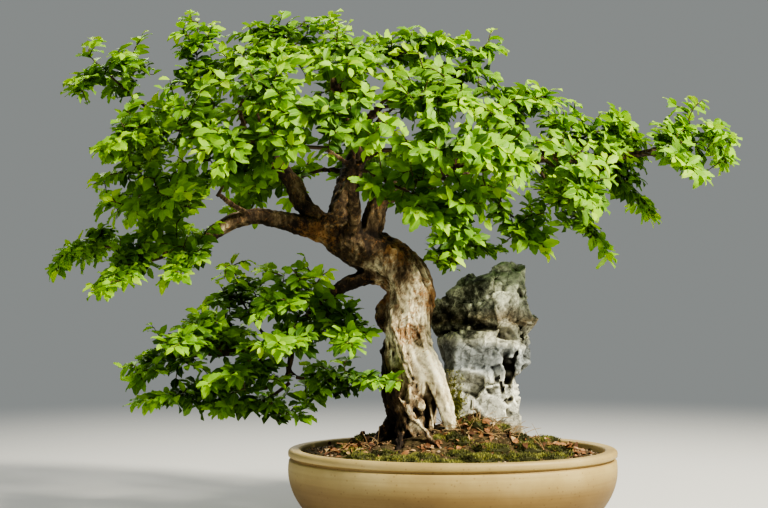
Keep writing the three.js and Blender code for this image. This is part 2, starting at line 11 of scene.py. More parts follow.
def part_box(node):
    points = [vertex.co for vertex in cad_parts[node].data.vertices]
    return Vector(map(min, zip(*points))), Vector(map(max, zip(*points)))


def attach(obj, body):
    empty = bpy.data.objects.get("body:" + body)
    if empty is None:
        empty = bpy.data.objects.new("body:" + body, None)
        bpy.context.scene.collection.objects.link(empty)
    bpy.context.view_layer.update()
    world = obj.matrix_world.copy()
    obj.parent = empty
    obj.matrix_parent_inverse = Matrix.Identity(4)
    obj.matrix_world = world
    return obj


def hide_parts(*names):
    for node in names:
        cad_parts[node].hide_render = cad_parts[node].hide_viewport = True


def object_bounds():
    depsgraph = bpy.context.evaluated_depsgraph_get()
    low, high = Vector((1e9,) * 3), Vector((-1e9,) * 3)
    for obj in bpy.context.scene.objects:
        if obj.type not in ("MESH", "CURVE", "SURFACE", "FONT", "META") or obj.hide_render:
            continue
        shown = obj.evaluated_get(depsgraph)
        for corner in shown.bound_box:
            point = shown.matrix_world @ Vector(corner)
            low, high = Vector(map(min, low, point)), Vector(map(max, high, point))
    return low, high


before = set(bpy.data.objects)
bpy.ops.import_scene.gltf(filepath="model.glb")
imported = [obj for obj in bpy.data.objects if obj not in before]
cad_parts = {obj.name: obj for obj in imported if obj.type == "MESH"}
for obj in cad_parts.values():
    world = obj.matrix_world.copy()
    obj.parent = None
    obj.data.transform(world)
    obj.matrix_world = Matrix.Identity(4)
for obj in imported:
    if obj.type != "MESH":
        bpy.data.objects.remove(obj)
cad_low, cad_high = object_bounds()
MM = 0.001

# The studio
# A plain pale floor that fades out, a broad warm light from the upper right, a cool fill from
# the left, and a camera level with the middle of the tree, as the photograph was taken.
scene = bpy.context.scene
CAMERA_AT = Vector((-72.9, -1750, 296.4)) * MM
FIELD_OF_VIEW = math.radians(26.3)
LIGHTS_AIM = Vector((-50, 0, 300)) * MM
BACKDROP = (0.52, 0.55, 0.54)
BACKDROP_STRENGTH = 0.46
FLOOR_COLOUR = (0.66, 0.66, 0.64)
FLOOR_REACH = 3.0
FLOOR_FADES_FROM = 0.55
FLOOR_GONE_AT = 1.7

camera_data = bpy.data.cameras.new("camera")
camera_data.angle = FIELD_OF_VIEW
camera = bpy.data.objects.new("camera", camera_data)
camera.location = CAMERA_AT
camera.rotation_euler = (math.radians(90), 0, 0)
scene.collection.objects.link(camera)
scene.camera = camera

world = bpy.data.worlds.new("studio")
world.use_nodes = True
world.node_tree.nodes["Background"].inputs["Color"].default_value = (*BACKDROP, 1)
world.node_tree.nodes["Background"].inputs["Strength"].default_value = BACKDROP_STRENGTH
scene.world = world
scene.view_settings.look = "AgX - Medium High Contrast"


def studio_light(name, at, size, power, colour):
    """An area light at a point, turned towards the tree's middle."""
    data = bpy.data.lights.new(name, "AREA")
    data.size = size
    data.energy = power
    data.color = colour
    lamp = bpy.data.objects.new(name, data)
    lamp.location = at
    lamp.rotation_euler = (LIGHTS_AIM - Vector(at)).to_track_quat("-Z", "Y").to_euler()
    scene.collection.objects.link(lamp)


studio_light("key", at=(1.75, -1.3, 2.1), size=0.4, power=205, colour=(1.0, 0.94, 0.79))
studio_light("fill", at=(-2.2, -1.8, 1.1), size=1.8, power=7, colour=(0.86, 0.93, 1.0))
studio_light("back", at=(-0.6, 2.0, 1.9), size=1.2, power=30, colour=(1.0, 0.97, 0.9))


def fill(node, sockets):
    """Sets sockets by name or number. A node, or a node with one of its outputs, is linked."""
    for socket, value in sockets.items():
        source, output = value if isinstance(value, tuple) and len(value) == 2 else (value, 0)
        if isinstance(source, bpy.types.Node):
            node.id_data.links.new(source.outputs[output], node.inputs[socket])
        else:
            node.inputs[socket].default_value = value


def new_material(name, roughness, specular=0.5):
    """A material, its Principled shader, and a function that adds nodes to it. That one's plain
    values fill a node's sockets in order, and its named ones are settings or sockets."""
    material = bpy.data.materials.new(name)
    material.use_nodes = True
    shader = material.node_tree.nodes["Principled BSDF"]
    fill(shader, {"Roughness": roughness, "Specular IOR Level": specular})

    def add(kind, *values, **named):
        node = material.node_tree.nodes.new("ShaderNode" + kind)
        sockets = dict(enumerate(values))
        for key, value in named.items():
            if hasattr(node, key):
                setattr(node, key, value)
            else:
                sockets[key.replace("_", " ")] = value
        fill(node, sockets)
        return node

    return material, shader, add


def ramp_of(add, source, *stops):
    """A colour ramp over a value, with its stops as (position, (red, green, blue))."""
    ramp = add("ValToRGB", source)
    elements = ramp.color_ramp.elements
    while len(elements) > 1:
        elements.remove(elements[-1])
    elements[0].position, elements[0].color = stops[0][0], (*stops[0][1], 1)
    for position, colour in stops[1:]:
        elements.new(position).color = (*colour, 1)
    return ramp


def layer(add, under, over, share=1, way="MULTIPLY"):
    """One colour multiplied by another, or mixed with it, wholly or by a share."""
    mix = add("Mix", share, data_type="RGBA", blend_type=way)
    fill(mix, {6: under, 7: over})
    return mix, 2


def placed(name, mesh, materials, smooth=True):
    """An object of a finished mesh, at the origin and with no turn."""
    mesh.polygons.foreach_set("use_smooth", [smooth] * len(mesh.polygons))
    for material in materials:
        mesh.materials.append(material)
    made = bpy.data.objects.new(name, mesh)
    scene.collection.objects.link(made)
    return made


def own_object(name, bm, *materials, smooth=True):
    """An object made of a bmesh, which is then let go."""
    mesh = bpy.data.meshes.new(name)
    bm.to_mesh(mesh)
    bm.free()
    return placed(name, mesh, materials, smooth)


floor_paint, shader, add = new_material("pale_floor", 0.85, 0.2)
fill(shader, {"Base Color": (*FLOOR_COLOUR, 1)})
distance = add("VectorMath", (add("TexCoord"), "Object"), operation="LENGTH")
fade = add(
    "MapRange",
    (distance, "Value"),
    interpolation_type="SMOOTHSTEP",
    From_Min=FLOOR_FADES_FROM,
    From_Max=FLOOR_GONE_AT,
)
faded = add("MixShader", fade, shader, add("BsdfTransparent"))
fill(floor_paint.node_tree.nodes["Material Output"], {0: faded})
bm = bmesh.new()
bmesh.ops.create_circle(bm, cap_ends=True, segments=96, radius=FLOOR_REACH)
floor = own_object("floor", bm, floor_paint)

# The pot
# Thrown and pressed oval, of tan stoneware under a thin satin ash glaze. It has a rolled rim
# with a groove under it, a low foot, and two drain holes, each over a shallow channel.
pot_low, pot_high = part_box("pot")
POT_HALF_LENGTH = (pot_high.x - pot_low.x) / 2
POT_SQUASH = (pot_high.y - pot_low.y) / (pot_high.x - pot_low.x)
POT_HEIGHT = pot_high.z
WALL = 14 * MM
FLOOR_TOP = 12 * MM
FOOT_RADIUS = 122 * MM
FOOT_HEIGHT = 5 * MM
FOOT_ROUNDING = 0.8 * MM
BELLY_CENTRE = 68 * MM
OUTER_RISE = 100 * MM
INNER_RISE = 90 * MM
BELLY_TOP = POT_HEIGHT - 12.2 * MM
OUTER_LIP = 4.2 * MM
INNER_LIP = 3.5 * MM
SPIN_STEPS = 144
# The groove under the rim: how far in and how far below the rim each point lies, in millimetres.
GROOVE = [(1.2, 11.7), (3.4, 11.2), (4.2, 10.2), (4.2, 9.4), (3.2, 8.4), (1.2, 7.8), (0.3, 7.2)]


def belly(radius, rise, z):
    """Radius of the pot's side at a height: an ellipse, widest at the belly's centre."""
    return radius * math.sqrt(1 - ((BELLY_CENTRE - z) / rise) ** 2)


def lip(radius, rounding, angles):
    """A quarter round at the top of the wall. Its rounding is negative on the wall's inside."""
    height = abs(rounding)
    return [
        (radius - rounding * (1 - math.cos(turn)), POT_HEIGHT - height * (1 - math.sin(turn)))
        for turn in angles
    ]


foot = [
    (0, 0),
    (FOOT_RADIUS - FOOT_ROUNDING, 0),
    (FOOT_RADIUS, FOOT_ROUNDING),
    (FOOT_RADIUS, FOOT_HEIGHT - 0.6 * MM),
    (FOOT_RADIUS + 1 * MM, FOOT_HEIGHT),
]
outside = [
    (belly(POT_HALF_LENGTH, OUTER_RISE, z), z)
    for z in np.linspace(FOOT_HEIGHT + 1 * MM, BELLY_TOP, 15)
]
groove = [(POT_HALF_LENGTH - inset * MM, POT_HEIGHT - below * MM) for inset, below in GROOVE]
rim_outer = lip(POT_HALF_LENGTH, OUTER_LIP, np.linspace(0, math.pi / 2, 6))
rim_inner = lip(POT_HALF_LENGTH - WALL, -INNER_LIP, np.linspace(math.pi / 2, 0, 5))
inside = [
    (belly(POT_HALF_LENGTH - WALL, INNER_RISE, z), z)
    for z in np.linspace(BELLY_CENTRE, FLOOR_TOP, 6)
]
profile = [*foot, *outside, *groove, *rim_outer, *rim_inner, *inside, (0, FLOOR_TOP)]
bm = bmesh.new()
corners = [bm.verts.new((radius, 0, z)) for radius, z in profile]
edges = [bm.edges.new(pair) for pair in zip(corners, corners[1:])]
bmesh.ops.spin(
    bm,
    geom=corners + edges,
    cent=(0, 0, 0),
    axis=(0, 0, 1),
    angle=2 * math.pi,
    steps=SPIN_STEPS,
    use_merge=True,
)
bmesh.ops.remove_doubles(bm, verts=bm.verts, dist=1e-6)
bmesh.ops.scale(bm, vec=(1, POT_SQUASH, 1), verts=bm.verts)
bmesh.ops.recalc_face_normals(bm, faces=bm.faces)

DRAIN_X = 70 * MM
DRAIN_RADIUS = 10 * MM
DRAIN_CUT = 40 * MM
CHANNEL_WIDTH = 12 * MM
CHANNEL_DEPTH = 3 * MM
cutters = []
for side in (-1, 1):
    drain = bmesh.new()
    bmesh.ops.create_cone(
        drain, cap_ends=True, segments=40, radius1=DRAIN_RADIUS, radius2=DRAIN_RADIUS, depth=DRAIN_CUT
    )
    bmesh.ops.translate(drain, verts=drain.verts, vec=(side * DRAIN_X, 0, FLOOR_TOP))
    cutters.append(own_object("hole_cutter", drain))
    channel = bmesh.new()
    bmesh.ops.create_cube(channel, size=1)
    cut_size = (CHANNEL_WIDTH, 2 * POT_HALF_LENGTH, 2 * CHANNEL_DEPTH)
    bmesh.ops.scale(channel, verts=channel.verts, vec=cut_size)
    bmesh.ops.translate(channel, verts=channel.verts, vec=(side * DRAIN_X, 0, 0))
    cutters.append(own_object("channel_cutter", channel))


def shape_now(obj):
    """The mesh of an object with its modifiers applied."""
    depsgraph = bpy.context.evaluated_depsgraph_get()
    return bpy.data.meshes.new_from_object(obj.evaluated_get(depsgraph))


def speckled_glaze():
    """Tan ash glaze, darkened towards the foot as painted shade under the belly, browner in the groove,
    with faint throwing lines and small iron specks."""
    material, shader, add = new_material("tan_stoneware", 0.42, 0.45)
    place = (add("TexCoord"), "Object")
    cloud = add("TexNoise", place, Scale=14, Detail=6, Roughness=0.6)
    tan = ramp_of(
        add, cloud, (0.3, (0.33, 0.235, 0.09)), (0.52, (0.41, 0.31, 0.125)), (0.75, (0.49, 0.39, 0.18))
    )
    height = (add("SeparateXYZ", place), "Z")
    # Painted shade: the glaze is darkened towards the foot, where the belly turns away from the light.
    brown = ramp_of(
        add,
        add("MapRange", height, From_Min=10 * MM, From_Max=72 * MM),
        (0.0, (0.27, 0.20, 0.13)),
        (0.68, (0.48, 0.40, 0.29)),
        (1.0, (1.0, 1.0, 1.0)),
    )
    bend = (add("NewGeometry"), "Pointiness")
    edge = ramp_of(add, bend, (0.44, (0.62, 0.5, 0.38)), (0.5, (1, 1, 1)), (0.58, (1.12, 1.1, 1.06)))
    cells = add("TexVoronoi", place, feature="F1", Scale=170, Randomness=1)
    speck = ramp_of(add, cells, (0.0, (0.35, 0.25, 0.16)), (0.13, (0.55, 0.42, 0.3)), (0.2, (1, 1, 1)))
    rings = add("TexNoise", add("Mapping", place, Scale=(0.1, 0.1, 4)), Scale=60, Detail=3)
    line = ramp_of(
        add, rings, (0.35, (0.93, 0.91, 0.88)), (0.5, (1, 1, 1)), (0.65, (1.05, 1.045, 1.03))
    )
    specked = layer(add, layer(add, layer(add, tan, brown), edge), speck, 0.4)
    sockets = {
        "Base Color": layer(add, specked, line),
        "Roughness": add("MapRange", cloud, To_Min=0.44, To_Max=0.64),
        "Normal": add("Bump", Strength=0.16, Distance=1.5 * MM, Height=rings),
    }
    fill(shader, sockets)
    return material


pot = own_object("pot_glazed", bm, speckled_glaze())
for cutter in cutters:
    cut = pot.modifiers.new("cut", "BOOLEAN")
    cut.object = cutter
    cut.solver = "EXACT"
glazed = shape_now(pot)
pot.modifiers.clear()
pot.data = glazed
for cutter in cutters:
    bpy.data.objects.remove(cutter)
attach(pot, "root")
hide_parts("pot")

# The drain screens
# Squares of black plastic mesh that lie over the drain holes, under the soil. Their solids
# are shown as they are, in a plain black plastic.
screen_plastic, shader, add = new_material("black_mesh", 0.6)
grain = add("TexNoise", (add("TexCoord"), "Object"), Scale=400)
black = ramp_of(add, grain, (0.3, (0.012, 0.013, 0.014)), (0.7, (0.03, 0.032, 0.035)))
fill(shader, {"Base Color": black})
for side in ("left", "right"):
    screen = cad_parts["drain_screen_" + side]
    screen.data.materials.clear()
    screen.data.materials.append(screen_plastic)

# The stone
# One upright piece of grey limestone, weathered into a ledge, hollows and clefts. It is set
# in the soil behind the trunk, and its top carries a thin green-grey lichen.
STONE_GRAIN = 1.5 * MM
STONE_CAVE_REACH = 26 * MM
FACE_SIZE = 25
LEDGE_HEIGHT = 217
LEDGE_SLOPE = 0.25
LEDGE_FROM_X = 14
# Rock and bark rise where ridged() is over this level, and sink where it is under it.
RIDGED_LEVEL = 0.72
CAVE_RAYS = 12


def fine_copy(node, grain):
    """A closed skin over a copy of a CAD node, with even faces of about the given size."""
    bm = bmesh.new()
    bm.from_mesh(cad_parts[node].data)
    bmesh.ops.remove_doubles(bm, verts=bm.verts, dist=1e-6)
    rough = own_object("rough", bm)
    skin = rough.modifiers.new("skin", "REMESH")
    skin.mode = "VOXEL"
    skin.voxel_size = grain * 1
    bm = bmesh.new()
    bm.from_mesh(shape_now(rough))
    bpy.data.objects.remove(rough)
    return bm


def even_out(bm, rounds):
    """Rounds off the corners between facets without making thin parts thinner."""
    for _ in range(rounds):
        for share in (0.5, -0.52):
            bmesh.ops.smooth_vert(
                bm, verts=bm.verts, factor=share, use_axis_x=True, use_axis_y=True, use_axis_z=True
            )


def swell(bm, height_at):
    """Moves every corner out along its normal by height_at(place, normal)."""
    bm.normal_update()
    moves = [corner.normal * height_at(corner.co, corner.normal) for corner in bm.verts]
    for corner, move in zip(bm.verts, moves):
        corner.co += move
    bmesh.ops.recalc_face_normals(bm, faces=bm.faces)


def blend(value, start, end):
    """From 0 at the start to 1 at the end, smoothly. The end may be the lower of the two."""
    share = max(0.0, min(1.0, (value - start) / (end - start)))
    return share * share * (3 - 2 * share)


def shut_in(bm, reach):
    """For each corner, the share of rays out of it that soon meet the surface again, for painted shade in
    hollows.
    """
    bm.normal_update()
    skin = BVHTree.FromBMesh(bm)
    luck = np.random.default_rng(2)
    spread = luck.normal(size=(CAVE_RAYS, 3))
    spread = [Vector(ray / np.linalg.norm(ray)) for ray in spread]
    met = np.zeros(len(bm.verts))
    for index, corner in enumerate(bm.verts):
        start = corner.co + 0.8 * MM * corner.normal
        for ray in spread:
            if skin.ray_cast(start, 1.05 * corner.normal + ray, reach)[0]:
                met[index] += 1 / CAVE_RAYS
    bm.verts.index_update()
    pairs = np.array([[corner.index for corner in edge.verts] for edge in bm.edges])
    shares = np.bincount(pairs.ravel(), minlength=len(met))
    for _ in range(2):
        around = np.bincount(pairs[:, 0], met[pairs[:, 1]], len(met))
        around += np.bincount(pairs[:, 1], met[pairs[:, 0]], len(met))
        met = 0.4 * met + 0.6 * around / np.maximum(shares, 1)
    return met


def write_down(obj, name, values):
    """Keeps one value for each corner of an object's mesh, for its material to read."""
    obj.data.attributes.new(name, "FLOAT", "POINT").data.foreach_set("value", values)


def grained(p, wide, tall):
    """A place counted in grains of a width and a height, for noise of that grain."""
    return Vector((p.x / wide, p.y / wide, p.z / tall))


def ridged(point, octaves=3):
    """Sharp-crested noise from 0 to about 1, for broken rock and plated bark."""
    total, share = 0.0, 0.5
    for _ in range(octaves):
        total += share * (1 - abs(noise.noise(point))) ** 2
        point = point * 2.07 + Vector((3.1, 1.7, 5.3))
        share *= 0.5
    return total


def drift_of(p):
    """Three unlike smooth values at a place, each from -1 to 1."""
    return Vector([noise.noise(p + k * Vector((17.3, 5.1, 9.7))) for k in range(3)])


def facet(p, size):
    """Height of flat broken faces of about a size, each with a tilt of its own."""
    middle = noise.voronoi(p / size)[1][0]
    tilt = drift_of(middle * 5.3).dot(p / size - middle)
    return size * 0.6 * tilt + 2 * noise.noise(middle * 3.1)


def stone_height(co, normal):
    """Flat broken faces, pits on the right of the top, cavities under it and a sandy surface."""
    p = co * 1000
    faces = facet(p + 1.5 * drift_of(p / 22), FACE_SIZE)
    beside_trunk = blend(-normal.x, 0.1, 0.7) * blend(p.z, 116, 134) * blend(p.z, 228, 206)
    broad = ridged(grained(p, 26, 30) + Vector((9, 2, 4))) - RIDGED_LEVEL
    seam = noise.noise(Vector((p.x / 50, p.y / 50, p.z / 7 + p.x / 20)))
    pitted = blend(p.x, 34, 54) * blend(p.z, 150, 180)
    pits = ridged(grained(p, 8, 10)) - RIDGED_LEVEL
    holes = max(0.0, noise.noise(Vector((p.x / 9 + 7, p.y / 9, p.z / 12))) - 0.22)
    eaten = blend(p.x, 50, 57) * blend(p.z, 118, 134) * blend(p.z, 196, 184) * blend(p.y, 50, 30)
    cavity = eaten * max(0.0, 0.16 + noise.noise(Vector((p.x / 7, p.y / 9, p.z / 8))))
    ledge = LEDGE_HEIGHT - LEDGE_SLOPE * (p.x - LEDGE_FROM_X)
    above_ledge = p.z - ledge + 2 * noise.noise(p / 12)
    fronting = blend(p.y, 50, 38) * blend(p.x, 2, 16) * blend(p.x, 76, 64)
    under = fronting * math.exp(-(((above_ledge - 6) / 4.5) ** 2))
    brow = fronting * math.exp(-(((above_ledge + 4) / 4) ** 2))
    sand = noise.noise(p / 2.4)
    raised = 2.5 * brow - 7.5 * under + 0.9 * broad + 0.8 * seam + (0.6 + 2.6 * pitted) * pits
    raised += 0.95 * faces + 5 * beside_trunk + 0.25 * sand
    return (raised - (3 + 8 * pitted) * holes - 15 * cavity) * MM


bm = fine_copy("stone", STONE_GRAIN)
even_out(bm, 3)
swell(bm, stone_height)
stone_shut_in = shut_in(bm, STONE_CAVE_REACH)


def weathered_stone():
    """Grey limestone: whitish low down, blue-grey in the middle and olive on top. The ledge is cream with
    painted light on its top, and the brown under the overhang is painted shade. The upper left, towards
    the tree, has painted shadow of the trunk and crown, mottled near black like old lichen. Creases and
    hollows have painted shade, and ridges a painted highlight."""
    material, shader, add = new_material("weathered_stone", 0.9, 0.3)
    place = (add("TexCoord"), "Object")
    at = add("SeparateXYZ", place)
    drift = add("TexNoise", place, Scale=26, Detail=7, Roughness=0.7, Distortion=0.7)
    # The whole width of the band in which each kind of boundary wanders.
    up_drift, side_drift = 36 * MM, 50 * MM
    height = add("Math", drift, up_drift, (at, "Z"), operation="MULTIPLY_ADD")
    across = add("Math", drift, side_drift, (at, "X"), operation="MULTIPLY_ADD")
    level = add("MapRange", height, From_Min=96 * MM + up_drift / 2, From_Max=290 * MM + up_drift / 2)
    # Painted light and shade by height: cream on the ledge is painted light on its top, and the dark
    # brown band just above it is painted shade under the overhang.
    zones = ramp_of(
        add,
        level,
        (0.05, (0.30, 0.26, 0.19)),
        (0.14, (0.60, 0.60, 0.53)),
        (0.34, (0.67, 0.68, 0.61)),
        (0.40, (0.27, 0.295, 0.31)),
        (0.50, (0.36, 0.385, 0.39)),
        (0.56, (0.66, 0.65, 0.53)),
        (0.63, (0.60, 0.58, 0.46)),
        (0.66, (0.24, 0.19, 0.12)),
        (0.74, (0.52, 0.53, 0.43)),
        (0.95, (0.43, 0.465, 0.34)),
    )
    mottle = add("TexNoise", place, Scale=75, Detail=9, Roughness=0.72)
    spots = ramp_of(
        add, mottle, (0.34, (0.24, 0.24, 0.225)), (0.46, (0.80, 0.80, 0.78)), (0.60, (1.42, 1.42, 1.38))
    )
    # Painted shade in creases and painted highlight on ridges, by how sharply the stone bends.
    bend = (add("NewGeometry"), "Pointiness")
    edge = ramp_of(
        add, bend, (0.41, (0.13, 0.13, 0.12)), (0.485, (0.86, 0.86, 0.85)), (0.57, (1.6, 1.6, 1.55))
    )
    bent = add("Mix", 0.03, data_type="VECTOR")
    fill(bent, {4: place, 5: (drift, "Color")})
    crack = ramp_of(
        add,
        add("TexVoronoi", (bent, 1), feature="DISTANCE_TO_EDGE", Scale=52),
        (0.0, (0.16, 0.155, 0.14)),
        (0.022, (0.62, 0.62, 0.6)),
        (0.06, (1, 1, 1)),
    )
    # Painted shadow of the trunk and crown on the stone's upper left, mottled near black like old lichen.
    leftward = add(
        "MapRange",
        across,
        interpolation_type="SMOOTHSTEP",
        From_Min=52 * MM + side_drift / 2,
        From_Max=30 * MM + side_drift / 2,
    )
    upward = add(
        "MapRange",
        height,
        interpolation_type="SMOOTHSTEP",
        From_Min=200 * MM + up_drift / 2,
        From_Max=212 * MM + up_drift / 2,
    )
    lichen_and_painted_shadow = add("Math", leftward, upward, operation="MULTIPLY")
    # The mottled dark colour of that painted shadow and lichen.
    lichen = ramp_of(
        add, mottle, (0.36, (0.07, 0.075, 0.06)), (0.49, (0.25, 0.26, 0.22)), (0.60, (0.95, 0.97, 0.88))
    )
    # Painted shade in the stone's hollows, near black where rays from a corner soon meet the surface.
    shut = (add("Attribute", attribute_name="shut_in"), "Fac")
    painted_hollow_shade = ramp_of(
        add, shut, (0.30, (1, 1, 1)), (0.55, (0.30, 0.28, 0.24)), (0.75, (0.05, 0.045, 0.035))
    )
    # The stone's tones with painted shade in creases and under the overhang, and painted highlight on
    # ridges and the ledge.
    tones_shade_and_highlight = layer(add, layer(add, zones, spots), edge)
    dark = layer(add, layer(add, tones_shade_and_highlight, crack, 0.75), lichen, lichen_and_painted_shadow)
    fine = add("TexNoise", place, Scale=330, Detail=8, Roughness=0.75)
    bump = add("Bump", Strength=0.8, Distance=1.7 * MM, Height=fine)
    fill(shader, {"Base Color": layer(add, dark, painted_hollow_shade), "Normal": bump})
    return material


stone = own_object("stone_weathered", bm, weathered_stone())
write_down(stone, "shut_in", stone_shut_in)
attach(stone, "root")
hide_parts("stone")

# The tree
# Trunk, roots, limbs and branchlets, grown as one. The old bark is cream and grey in long ridges, flaking
# to orange-brown. It has painted shade in its furrows and hollows, painted highlight on its ridges,
# painted shade on its left over darker bark, and darker limbs deepened by painted shade under the crown.
BARK_GRAIN = 1.7 * MM
BARK_CAVE_REACH = 24 * MM
# The thick pale root that sweeps down the front of the trunk to the right, in millimetres.
PALE_ROOT = [(-54, -12, 254), (-37, -17, 208), (-18, -21, 162), (-4, -25, 121), (5, -28, 80)]
# Cream patches on the left side, which has painted shade: the middle and the half sizes of each, in
# millimetres.
PALE_PATCHES = [((-65, 186), (6, 10)), ((-61, 165), (4, 7)), ((-69, 208), (4, 6))]
# Where bark has lately flaked off: the middle of each patch and its reach, in millimetres.
FLAKED = [((-21, 254), 19), ((-76, 254), 14), ((-48, 214), 13), ((-60, 298), 15), ((-144, 314), 22)]


def off_pale_root(p):
    """How far a place is from the middle line of the pale root, in millimetres."""
    away = []
    for a, b in zip(PALE_ROOT, PALE_ROOT[1:]):
        start, run = Vector(a), Vector(b) - Vector(a)
        share = max(0.0, min(1.0, (p - start).dot(run) / run.length_squared))
        away.append((p - start - share * run).length)
    return min(away)


def bark_height(co, normal):
    """Strands and furrows that sweep down to the right on the old wood, smoother on the pale
    root and under the crown, and rough plates and knobs up in the limbs."""
    p = co * 1000
    old = blend(math.hypot(p.x + 46, p.y), 68, 36) * blend(p.z, 330, 290)
    limb = blend(math.hypot(p.x + 70, p.y), 170, 70)
    calm = blend(off_pale_root(p), 21, 13) * blend(p.z, 212, 180)
    furrowed = (1 - 0.7 * calm) * (1 - 0.45 * blend(p.z, 225, 255))
    drift = noise.noise(grained(p, 40, 55))
    swept = Vector((p.x + 0.40 * p.z + 12 * drift, p.y + 9 * drift, p.z))
    strands = ridged(grained(swept, 14, 70)) - RIDGED_LEVEL
    seams = max(0.0, ridged(Vector((swept.x / 19 + 4, swept.y / 19, swept.z / 90)), 2) - 0.62)
    plates = ridged(grained(p, 9, 12) + Vector((4, 8, 1))) - RIDGED_LEVEL
    flakes = noise.noise(grained(p, 6, 8) + Vector((4, 8, 1)))
    knobs = max(0.0, noise.noise(p / 15 + Vector((1, 5, 9))) - 0.16)
    rough = noise.noise(p / 3)
    thick = furrowed * (7.6 * strands - 13 * seams + 5 * knobs)
    thick += (1 - 0.55 * calm) * (2.4 * plates + 1.3 * flakes) + 1.4 * calm
    thin = 2.8 * plates + 1.3 * flakes + 3.4 * knobs
    return (thick * old + thin * (1 - old) * (0.2 + 0.8 * limb) + 0.35 * rough) * MM


def bark_paleness(co):
    """From 0, dark, to 1, pale and bare: darker at the foot, painted shade on the left over darker bark,
    darker in the limbs from their own bark and painted shade under the crown, palest along the thick
    root."""
    p = co * 1000
    calm = blend(off_pale_root(p), 24, 13) * blend(p.y, 4, -8) * (1 - 0.5 * blend(p.z, 180, 215))
    # Painted shade on the trunk's left side, away from the light, over bark that is somewhat darker
    # there.
    left = blend(p.x + 0.21 * (p.z - 120) + 9 * noise.noise(p / 11), -46, -62) * blend(p.z, 290, 240)
    foot = blend(p.z, 120, 98) * (1 - 0.6 * calm)
    # The limbs are darker: their own darker bark, deepened by painted shade under the crown.
    limb = max(blend(p.z, 276, 318), blend(p.x, -78, -104) * blend(p.z, 200, 230))
    back = blend(p.y, 0, 22)
    patch = sum(
        math.exp(-(((p.x - x) / wide) ** 2) - ((p.z - z) / tall) ** 2)
        for (x, z), (wide, tall) in PALE_PATCHES
    )
    pale = 0.59 + 0.30 * calm + 0.62 * patch * (1 - back) + 0.16 * noise.noise(p / 22)
    return pale - 0.55 * left - 0.40 * foot - 0.35 * limb - 0.12 * back


def bark_flaked(co):
    """From 0 to 1, how much orange-brown under-bark shows."""
    p = co * 1000
    near = [math.exp(-(((p.x - x) ** 2 + (p.z - z) ** 2) / reach**2)) for (x, z), reach in FLAKED]
    return min(1.0, 0.24 + 0.68 * sum(near))


bm = fine_copy("tree", BARK_GRAIN)
even_out(bm, 7)
swell(bm, bark_height)
bark_shut_in = shut_in(bm, BARK_CAVE_REACH)
bark_pale = [bark_paleness(corner.co) for corner in bm.verts]
bark_bare = [bark_flaked(corner.co) for corner in bm.verts]


def elm_bark():
    """Cream and grey bark with orange-brown flakes, painted shade near black in its hollows and furrows,
    and painted highlight on its ridges.
    """
    material, shader, add = new_material("elm_bark", 0.82, 0.3)
    place = (add("TexCoord"), "Object")
    along = add("Mapping", place, Rotation=(0, math.radians(-20), 0), Scale=(1, 1, 0.4))
    cloud = add("TexNoise", along, Scale=85, Detail=9, Roughness=0.7, Distortion=0.4)
    mottle = add("MapRange", cloud, From_Min=0.25, From_Max=0.75, To_Min=-0.57, To_Max=0.50)
    paleness = (add("Attribute", attribute_name="paleness"), "Fac")
    tone = ramp_of(
        add,
        add("Math", paleness, mottle, operation="ADD"),
        (0.05, (0.016, 0.010, 0.006)),
        (0.28, (0.070, 0.045, 0.024)),
        (0.46, (0.20, 0.145, 0.085)),
        (0.60, (0.44, 0.375, 0.255)),
        (0.78, (0.77, 0.70, 0.49)),
        (0.98, (0.95, 0.90, 0.70)),
    )
    chips = add("TexNoise", place, Scale=210, Detail=7, Roughness=0.7, Distortion=0.8)
    bare_here = (add("Attribute", attribute_name="flaked"), "Fac")
    flaked = ramp_of(
        add,
        add("Math", bare_here, 0.30, chips, operation="MULTIPLY_ADD"),
        (0.64, (0, 0, 0)),
        (0.74, (0.85, 0.85, 0.85)),
    )
    orange = ramp_of(
        add, cloud, (0.3, (0.085, 0.036, 0.012)), (0.5, (0.26, 0.125, 0.04)), (0.7, (0.54, 0.34, 0.14))
    )
    # Painted shade in the furrows, near black, and painted highlight on the ridges, by how sharply the
    # bark bends.
    bend = (add("NewGeometry"), "Pointiness")
    edge = ramp_of(
        add, bend, (0.44, (0.06, 0.043, 0.03)), (0.485, (0.70, 0.66, 0.60)), (0.55, (1.5, 1.47, 1.38))
    )
    pore = ramp_of(
        add,
        add("TexVoronoi", place, feature="F1", Scale=230, Randomness=1),
        (0.10, (0.30, 0.17, 0.10)),
        (0.20, (0.66, 0.52, 0.42)),
        (0.30, (1, 1, 1)),
    )
    # Painted shade in the bark's hollows, near black where rays from a corner soon meet the wood.
    shut = (add("Attribute", attribute_name="shut_in"), "Fac")
    painted_hollow_shade = ramp_of(
        add, shut, (0.24, (1, 1, 1)), (0.41, (0.34, 0.28, 0.21)), (0.60, (0.03, 0.021, 0.013))
    )
    relief = layer(add, layer(add, tone, orange, flaked, "MIX"), edge)
    pored = layer(add, relief, pore, bare_here)
    fine = add("TexNoise", place, Scale=300, Detail=8, Roughness=0.72)
    bump = add("Bump", Strength=0.8, Distance=1.5 * MM, Height=fine)
    fill(shader, {"Base Color": layer(add, pored, painted_hollow_shade), "Normal": bump})
    return material


tree = own_object("tree_bark", bm, elm_bark())
write_down(tree, "shut_in", bark_shut_in)
write_down(tree, "paleness", bark_pale)
write_down(tree, "flaked", bark_bare)
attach(tree, "root")
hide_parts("tree")

